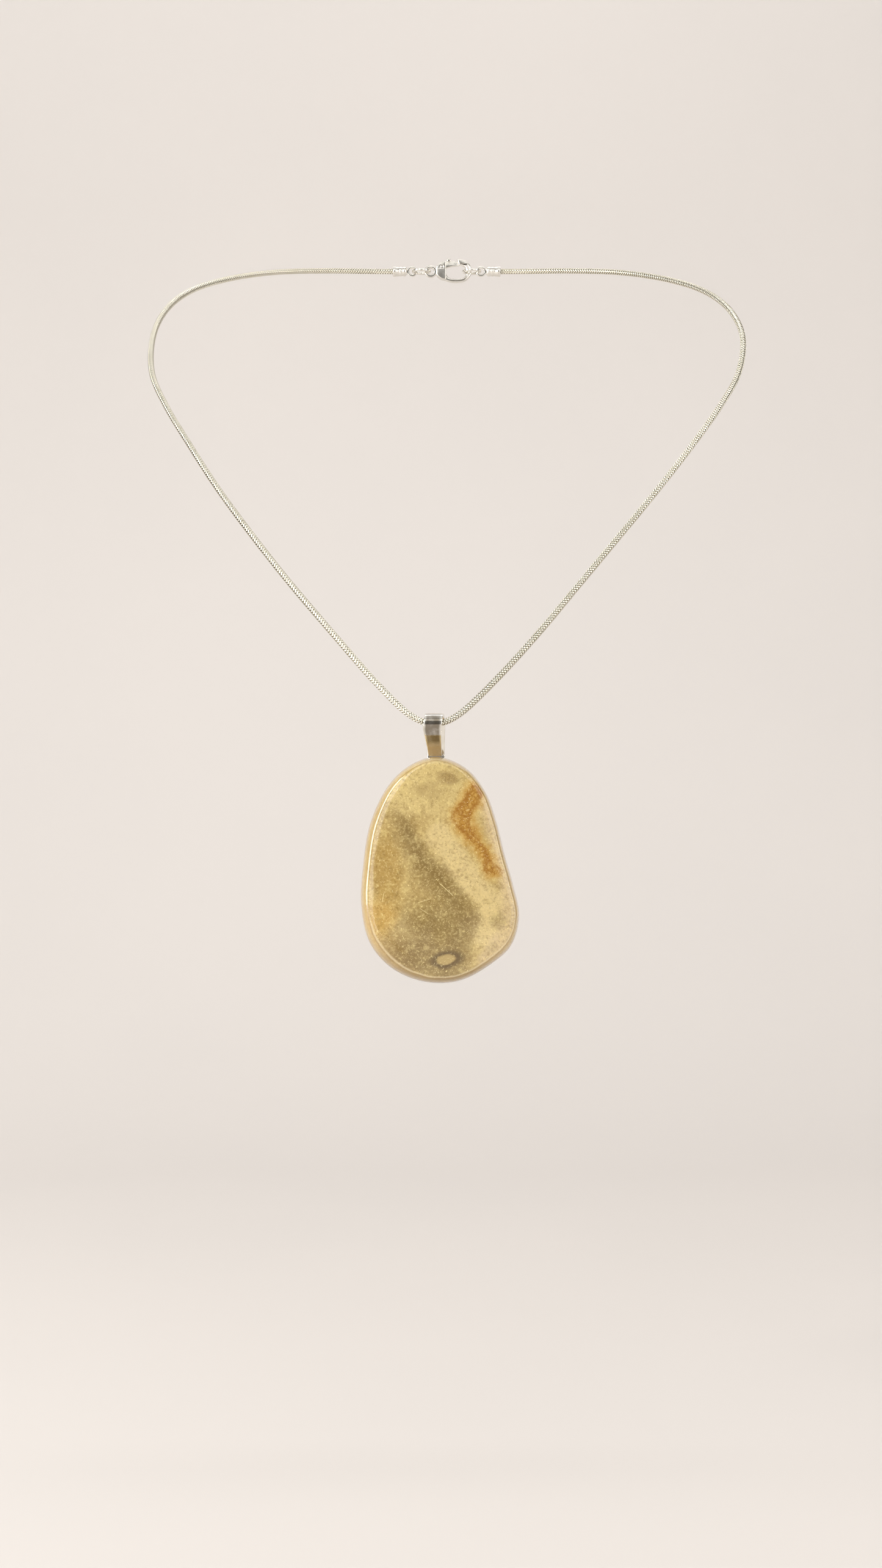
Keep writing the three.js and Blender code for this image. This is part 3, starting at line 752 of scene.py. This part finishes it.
def stone_material():
    m = StoneNodes()
    paint_ground(m)
    paint_smoke(m)
    paint_patches(m)
    net = paint_vein(m)
    paint_eye(m)
    paint_flecks(m)
    paint_rim(m)
    m.link(m.colour, m.bsdf.inputs["Base Color"])
    m.bsdf.inputs["Subsurface Weight"].default_value = 0.3
    m.bsdf.inputs["Subsurface Radius"].default_value = (1.0, 0.75, 0.4)
    m.bsdf.inputs["Subsurface Scale"].default_value = 0.0007
    m.bsdf.inputs["IOR"].default_value = 1.54
    smears = m.noise(m.coords(scale=(1, 1, 0.5), offset=(7, 7, 7)), 300, 5, 0.6)
    m.link(m.ramp(smears, 0.4, 0.8, 0.08, 0.24), m.bsdf.inputs["Roughness"])
    m.bsdf.inputs["Coat Weight"].default_value = 0.8
    m.bsdf.inputs["Coat Roughness"].default_value = 0.04
    m.bump(m.math("ADD", m.math("MULTIPLY", m.mottle, 0.7), m.math("MULTIPLY", net, -0.5)),
           0.06, 0.00004)
    return m.mat


stone_obj.data.materials.append(stone_material())
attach(stone_obj, "pendant")
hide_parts("stone")

# ---------------------------------------------------------------- bail
PAD_Y = STONE_BACK_Y + FILM_T + STRAP_T / 2
# the loop is bent a little askew: x of the strip's middle at the back, front and tail end
BACK_X = 0.39
FRONT_X = -0.42
TAIL_END_X = 0.24
STRAP_HALF = 1.95            # half the strip's width over the loop
STRAP_STEPS = 150
STRAP_CROWN = 0.03
STRAP_CORNER = 0.16


def tangent_point(y, z, side):
    """Where a line from y, z touches the loop's circle, and the angle of that point."""
    d = math.hypot(y, z)
    a = math.atan2(z, y) + side * math.acos(LOOP_R / d)
    return LOOP_R * math.cos(a), LOOP_R * math.sin(a), a


def bail():
    """One strip from the pad's foot up the back, over the loop and down the front."""
    bend = (PAD_Y, -6.75)
    tail = (PAD_Y - STRAP_T - 0.12, -6.72)
    by, bz, ba = tangent_point(*bend, 1)
    ty, tz, ta = tangent_point(*tail, -1)
    if ta < 0:
        ta += 2 * math.pi
    # y, z, half width, x of the strip's middle
    route = [(*p, BACK_X) for p in (
        (PAD_Y, -21.2, 1.5), (PAD_Y, -20.6, 2.5), (PAD_Y, -19.4, 3.2), (PAD_Y, -17.4, 3.5),
        (PAD_Y, -13.5, 3.4), (PAD_Y, -10.6, 2.8), (PAD_Y, -8.4, 2.05), (PAD_Y, -7.1, 1.92),
        (bend[0] - 0.06, bend[1] + 0.3, 1.9), ((bend[0] + by) / 2, (bend[1] + bz) / 2, 1.93),
        (by, bz, STRAP_HALF))]
    for i in range(1, 10):
        a = ba + (ta - ba) * i / 10
        route.append((LOOP_R * math.cos(a), LOOP_R * math.sin(a), STRAP_HALF,
                      BACK_X + (FRONT_X - BACK_X) * i / 10))
    route += [
        (ty + (tail[0] - ty) * f, tz + (tail[1] - tz) * f, w, FRONT_X + (TAIL_END_X - FRONT_X) * f)
        for f, w in ((0, STRAP_HALF), (0.35, 1.78), (0.7, 1.58), (1.0, 1.43))]
    path, _ = catmull(route, STRAP_STEPS)
    h, corner = STRAP_T / 2, STRAP_CORNER
    # section: slightly crowned faces with rounded corners
    quarter = [(math.cos(a), math.sin(a)) for a in np.linspace(0, math.pi / 2, 5)]
    verts, painted_dark_reflection = [], []
    # painted dark reflection on the strap's front run, fading out near its edges and towards its
    # lower end
    front_run = np.clip((np.arange(len(path)) / (len(path) - 1) - 0.70) / 0.05, 0, 1)
    for i, (y, z, w, x0) in enumerate(path):
        y0, z0 = path[max(i - 1, 0)][:2]
        y1, z1 = path[min(i + 1, len(path) - 1)][:2]
        size = math.hypot(y1 - y0, z1 - z0)
        ny, nz = -(z1 - z0) / size, (y1 - y0) / size
        ring = []
        for right, face in ((1, 1), (-1, 1), (-1, -1), (1, -1)):
            before_face = right * face > 0
            arc = quarter if before_face else quarter[::-1]
            ring += [(right * (w - corner + corner * c), face * (h - corner + corner * s))
                     for c, s in arc]
            if before_face:      # a broad face is slightly crowned
                ex, ey = ring[-1]
                for f in (0.75, 0.5, 0.25, 0, -0.25, -0.5, -0.75):
                    ring.append((ex * f, ey + face * STRAP_CROWN * (1 - f * f)))
        for x, out in ring:
            verts.append((x0 + x, y + ny * out, z + nz * out))
            near_edge = min(max((abs(x) / w - 0.72) / 0.16, 0), 1)
            painted_dark_reflection.append(front_run[i] * (1 - near_edge)
                           * min(max((z + 4.9) / 1.4, 0), 1))
    n = len(ring)
    obj = make_object("bail_strap", np.array(verts) + HANG, loft_faces(len(path), n))
    attribute(obj, "painted_dark_reflection", painted_dark_reflection)
    auto_smooth(obj, 50)
    return obj


bail_obj = bail()
bail_obj.data.materials.append(silver(
    "bail_silver", (0.88, 0.86, 0.80), (0.72, 0.69, 0.61), 0.1, streak=(2600, 260, 120),
    grain=0.000012, painted_dark_reflection="painted_dark_reflection"))
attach(bail_obj, "pendant")
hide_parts("bail")

# ---------------------------------------------------------------- findings at the nape
FINDING = silver("findings_silver", (0.87, 0.85, 0.80), (0.68, 0.65, 0.57), 0.14)
CAST = silver("cast_silver", (0.85, 0.83, 0.78), (0.60, 0.57, 0.50), 0.18,
              streak=(900, 500, 900), grain=0.00004)
STEEL = silver("plain_steel", (0.62, 0.61, 0.60), (0.40, 0.39, 0.38), 0.3)


def end_cap(name, side, node):
    """Crimped cup with a rolled lip and two crimp rings, and a flat eye."""
    profile = [(0.0, 0.0), (0.7, 0.02), (0.95, 0.1), (1.15, 0.25), (1.25, 0.5), (1.25, 0.95),
               (1.17, 1.05), (1.15, 1.15), (1.17, 1.25), (1.25, 1.35), (1.25, 1.75), (1.17, 1.85),
               (1.15, 1.95), (1.17, 2.05), (1.25, 2.15), (1.26, 2.7), (1.31, 2.8), (1.35, 2.95),
               (1.35, 3.4), (1.3, 3.55), (1.2, 3.6), (1.02, 3.58), (0.98, 3.45), (0.98, 0.6),
               (0.0, 0.6)]
    around = 48
    rings = []
    for r, along in profile:
        a = np.arange(around) * 2 * math.pi / around
        rr = max(r, 0.001)
        rings.append(np.stack([np.full(around, EYE_R + along), rr * np.cos(a), rr * np.sin(a)],
                              axis=1))
    cup = (np.concatenate(rings), loft_faces(len(rings), around))
    eye = plate(name + "_eye", [circle_loop(0, 0, EYE_R, 48), circle_loop(0, 0, EYE_HOLE_R, 40)],
                0.7, 0.16)
    neck = plate(name + "_neck", [[(1.0, -0.62), (1.75, -0.75), (1.75, 0.75), (1.0, 0.62)]],
                 0.7, 0.12)
    verts, faces = merge([cup, eye, neck])
    verts = verts * np.array([side, 1, 1]) + NAPE + np.array([side * EYE_X, 0, 0])
    obj = make_object(name, verts, faces)
    auto_smooth(obj, 40)
    obj.data.materials.append(FINDING)
    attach(obj, "chain")
    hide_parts(node)


end_cap("left_cap_cup", -1, "left_end_cap")
end_cap("right_cap_cup", 1, "right_end_cap")


def jump_ring(name, x, body, node, gap_at):
    """Round wire bent to a ring, with the fine butt joint where it closes."""
    around, section = 96, 20
    verts = []
    for i in range(around + 1):
        a = gap_at + 0.006 + (2 * math.pi - 0.012) * i / around
        end = min(i, around - i)
        r = RING_WIRE / 2 * (0.93 if end == 0 else 1.0)
        for k in range(section):
            b = 2 * math.pi * k / section
            out = RING_R + r * math.cos(b)
            verts.append((out * math.cos(a), out * math.sin(a), r * math.sin(b)))
    obj = make_object(name, np.array(verts) + NAPE + np.array([x, 0, 0]),
                      loft_faces(around + 1, section))
    auto_smooth(obj, 50)
    obj.data.materials.append(FINDING)
    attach(obj, body)
    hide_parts(node)


jump_ring("left_ring_wire", -EYE_X + EYE_BEAR + RING_R, "left_ring", "left_jump_ring", 1.2)
jump_ring("right_ring_wire", EYE_X - EYE_BEAR - RING_R, "right_ring", "right_jump_ring", 1.9)

HOOK_POINTS = [
    (1.2, 0.85), (1.6, 1.25), (2.0, 1.55), (2.0, -0.3), (3.86, -0.3), (3.98, -0.75), (4.35, -1.35),
    (4.9, -1.75), (5.6, -1.92), (6.6, -1.92), (7.43, -1.92), (8.1, -1.78), (8.75, -1.32),
    (9.08, -0.7), (9.15, -0.1), (8.98, 0.55), (8.6, 1.05), (8.05, 1.38), (7.43, 1.52),
    (7.18, 1.47), (6.66, 2.92), (7.3, 3.0), (8.1, 2.9), (8.9, 2.6), (9.6, 2.1), (10.05, 1.5),
    (10.33, 0.8), (10.4, 0.1), (10.33, -0.6), (10.05, -1.3), (9.5, -1.98), (8.8, -2.5),
    (7.9, -2.82), (6.8, -2.95), (5.7, -2.9), (4.6, -2.7), (3.6, -2.35), (2.6, -1.9), (1.8, -1.3),
    (1.2, -0.8),
]
HEEL_POINTS = [
    (1.55, -1.05), (2.1, -1.65), (2.7, -2.02), (3.3, -2.16), (3.9, -2.2), (3.9, 2.42),
    (3.4, 2.42), (2.8, 2.22), (2.1, 1.75), (1.55, 1.1),
]
LEVER_POINTS = [
    (2.38, 0.52), (2.62, 0.36), (2.92, 0.3), (3.25, 0.36), (3.6, 0.52), (4.0, 0.76), (4.4, 0.95),
    (5.0, 1.1), (5.6, 1.2), (6.4, 1.26), (7.1, 1.32), (6.78, 2.38), (6.1, 2.5), (5.4, 2.6),
    (4.8, 2.6), (4.3, 2.52), (3.8, 2.33), (3.3, 2.08), (2.9, 1.9), (2.5, 1.66), (2.28, 1.4),
    (2.22, 1.1), (2.26, 0.8),
]


def eased(loop, corners, step=0.13):
    """Loop rounded to a smooth curve between the corners it keeps."""
    at = [i for i, p in enumerate(loop) if p in corners]
    out = []
    for a, b in zip(at, at[1:] + [at[0] + len(loop)]):
        run = [loop[k % len(loop)] for k in range(a, b + 1)]
        _, length = catmull(run, 1)
        pts, _ = catmull(run, max(1, int(length / step)))
        out += [tuple(p) for p in pts[:-1]]
    return out


HOOK = eased(HOOK_POINTS, [(1.2, 0.85), (2.0, 1.55), (2.0, -0.3), (3.86, -0.3), (7.18, 1.47),
                           (6.66, 2.92), (1.2, -0.8)])
HEEL = eased(HEEL_POINTS, [(3.9, -2.2), (3.9, 2.42)])
LEVER = eased(LEVER_POINTS, [(7.1, 1.32), (6.78, 2.38)])


def moved(part, at):
    return np.asarray(part[0]) + at, part[1]


def clasp():
    """Lobster clasp: the hook between its cheeks, the sprung gate and the pin."""
    at = NAPE + np.array([TAIL_X, 0, 0])
    bow = plate("bow", [HOOK], 1.4, 0.34, resolution=4)
    pin_hole = circle_loop(PIVOT[0], PIVOT[1], 0.32, 24)
    cheeks = [plate("cheek", [HEEL, pin_hole], 0.65, 0.2, y=s * 0.875) for s in (-1, 1)]
    floor = plate("heel_floor", [[(1.55, -1.05), (2.1, -1.62), (2.7, -2.0), (3.86, -2.15),
                                  (3.86, -0.32), (1.98, -0.32), (1.98, 1.4), (1.55, 1.05)]],
                  1.5, 0.05)
    tail = plate("tail", [circle_loop(0, 0, 1.6, 48), circle_loop(0, 0, 0.8, 40)], 0.9, 0.2)
    neck = plate("neck", [[(0.95, -0.7), (2.0, -1.2), (2.0, 1.2), (0.95, 0.7)]], 0.9, 0.12)
    hook = make_object("clasp_hook", *moved(merge([bow, *cheeks, floor, tail, neck]), at))
    auto_smooth(hook, 40)
    hook.data.materials.append(CAST)
    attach(hook, "clasp")
    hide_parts("clasp_body")

    arm = plate("arm", [LEVER, circle_loop(PIVOT[0], PIVOT[1], 0.35, 24)], 0.96, 0.16)
    thumb = plate("thumb", [circle_loop(4.6, 2.75, 0.5, 24)], 1.5, 0.2)
    gate = make_object("clasp_gate", *moved(merge([arm, thumb]), at))
    auto_smooth(gate, 40)
    gate.data.materials.append(CAST)
    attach(gate, "lever")
    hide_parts("clasp_lever")

    around = 28
    a = np.arange(around) * 2 * math.pi / around
    rings = [np.stack([PIVOT[0] + r * np.cos(a), np.full(around, y), PIVOT[1] + r * np.sin(a)],
                      axis=1)
             for r, y in ((0.02, -1.2), (0.14, -1.19), (0.24, -1.15), (0.3, -1.06), (0.3, 1.06),
                          (0.24, 1.15), (0.14, 1.19), (0.02, 1.2))]
    rod = np.concatenate(rings), loft_faces(len(rings), around)
    pin = make_object("clasp_pin", *moved(rod, at))
    auto_smooth(pin, 50)
    pin.data.materials.append(STEEL)
    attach(pin, "clasp")
    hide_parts("clasp_pivot_pin")


clasp()

# carried-over CAD nodes: glue film and spring
film = Nodes("set_glue")
film_noise = film.noise(film.coords(), 700, 4, 0.6)
film.link(film.mix(film_noise, srgb(214, 206, 182), srgb(186, 174, 138)),
          film.bsdf.inputs["Base Color"])
film.link(film.ramp(film_noise, 0.3, 0.7, 0.2, 0.45), film.bsdf.inputs["Roughness"])
film.bump(film_noise, 0.3, 0.00003)
for node, mat in (("adhesive_film", film.mat), ("clasp_spring", STEEL)):
    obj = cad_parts[node]
    obj.data.materials.clear()
    obj.data.materials.append(mat)

# ---------------------------------------------------------------- stage
# the paper's places and sizes in mm
FLOOR_Z = -256
FLOOR_FRONT_Y = -3000
BEND_Y = 250
BEND_R = 450
WALL_TOP_Z = 2200
PAPER_HALF_WIDTH = 4500


def sweep():
    """Paper that lies on the floor and bends up into a wall behind the necklace."""
    profile = [(FLOOR_FRONT_Y, FLOOR_Z), (BEND_Y, FLOOR_Z)]
    for a in np.linspace(0, math.pi / 2, 16)[1:]:
        profile.append((BEND_Y + BEND_R * math.sin(a), FLOOR_Z + BEND_R * (1 - math.cos(a))))
    profile.append((BEND_Y + BEND_R, WALL_TOP_Z))
    verts, faces = [], []
    for y, z in profile:
        verts += [(-PAPER_HALF_WIDTH, y, z), (PAPER_HALF_WIDTH, y, z)]
    for i in range(len(profile) - 1):
        faces.append((2 * i, 2 * i + 1, 2 * i + 3, 2 * i + 2))
    obj = make_object("floor_sweep", verts, faces)
    m = Nodes("pale_paper")
    n = m.noise(m.coords(), 6, 3, 0.5)
    m.link(m.mix(m.ramp(n, 0.3, 0.7, 0.0, 0.3), (0.70, 0.67, 0.645), (0.74, 0.705, 0.675)),
           m.bsdf.inputs["Base Color"])
    m.bsdf.inputs["Roughness"].default_value = 0.9
    m.bsdf.inputs["Specular IOR Level"].default_value = 0.1
    obj.data.materials.append(m.mat)


sweep()


def area(name, at, look, size, power, colour):
    """Rectangular soft box at a place in metres, turned towards another."""
    data = bpy.data.lights.new(name, "AREA")
    data.shape = "RECTANGLE"
    data.size, data.size_y = size
    data.energy = power
    data.color = colour
    obj = bpy.data.objects.new(name, data)
    obj.location = at
    obj.rotation_euler = (Vector(look) - Vector(at)).to_track_quat("-Z", "Y").to_euler()
    scene.collection.objects.link(obj)


AIM = (0, -0.04, -0.12)
area("left_box", (-0.66, -0.35, 0.02), AIM, (0.24, 0.9), 6.0, (1.0, 0.98, 0.95))
area("left_fill", (-0.34, -0.72, 0.0), AIM, (0.3, 0.7), 1.5, (1.0, 0.97, 0.94))
area("right_box", (0.66, -0.36, 0.0), AIM, (0.14, 0.9), 2.6, (1.0, 0.97, 0.94))
area("right_fill", (0.42, -0.7, -0.02), AIM, (0.42, 0.8), 1.1, (1.0, 0.95, 0.92))
area("top_box", (0.0, -0.66, 0.42), AIM, (0.8, 0.4), 0.9, (1.0, 0.98, 0.94))
area("overhead_box", (0.0, -0.22, 0.72), AIM, (0.9, 0.55), 0.9, (1.0, 0.98, 0.95))
area("back_wash", (0.0, 0.3, 0.95), (0, 0.7, -0.1), (1.6, 0.3), 5.2, (1.0, 0.97, 0.95))

world = bpy.data.worlds.new("room")
scene.world = world
world.use_nodes = True
room = world.node_tree.nodes["Background"]
room.inputs["Color"].default_value = (1.0, 0.97, 0.93, 1)
room.inputs["Strength"].default_value = 0.3
